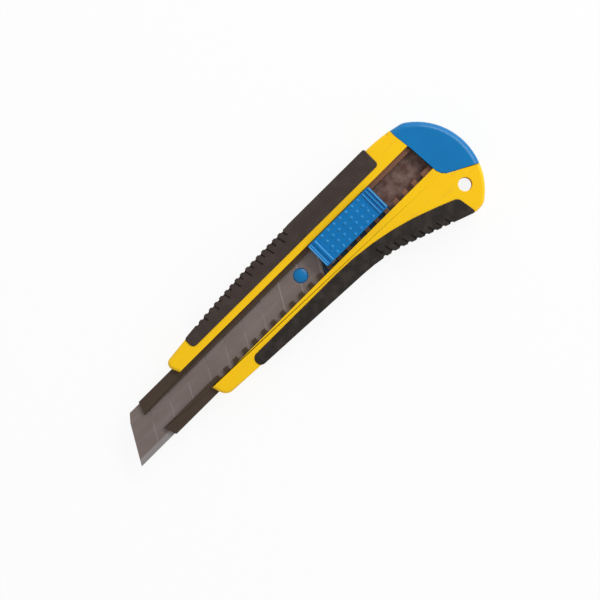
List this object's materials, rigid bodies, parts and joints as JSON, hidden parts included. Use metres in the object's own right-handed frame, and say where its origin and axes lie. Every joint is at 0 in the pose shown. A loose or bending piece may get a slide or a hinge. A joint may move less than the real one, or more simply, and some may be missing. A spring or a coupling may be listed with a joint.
{
  "type": "utility knife",
  "caption": "Snap-off utility knife: pegged plastic handle with rubber grips, steel blade channel, auto-lock thumb slider, scored blade and pull-off end cap.",
  "frame": {"origin": "on the underside of the handle, below the blade channel's centreline, halfway along the handle from nose to butt", "axes": "+X along the knife towards the butt, +Y across the blade towards its back, +Z out of the thumb side"},
  "size_m": [0.1778, 0.048, 0.0135],
  "materials": {
    "yellow_plastic": "smooth moulded plastic, semi-gloss",
    "blue_plastic": "smooth moulded plastic, semi-gloss",
    "grip_rubber": "fine matt texture",
    "channel_steel": "rolled sheet, slightly tarnished",
    "spring_steel": "bright spring steel",
    "blade_steel": "ground carbon steel, lighter on the bevel"
  },
  "bodies": {
    "handle": {"front_shell": "yellow_plastic", "back_shell": "yellow_plastic", "upper_grip": "grip_rubber", "lower_grip": "grip_rubber", "blade_channel": "channel_steel"},
    "slider": {"blade_carrier": "blue_plastic", "lock_spring": "spring_steel", "blade": "blade_steel"},
    "button": {"slider_button": "blue_plastic"},
    "cap": {"end_cap": "blue_plastic"}
  },
  "joints": [
    {"name": "blade_slide", "type": "slide", "parent": "handle", "child": "slider", "axis": [-1, 0, 0], "range_m": [-0.02052, 0.06156], "deforming": ["lock_spring"]},
    {"name": "thumb_shift", "type": "slide", "parent": "slider", "child": "button", "axis": [-1, 0, 0], "range_m": [-0.001, 0.001], "stiffness_N_per_m": 400, "deforming": ["lock_spring"]},
    {"name": "cap_pull", "type": "slide", "parent": "handle", "child": "cap", "axis": [1, 0, 0], "range_m": [0, 0.02]}
  ]
}
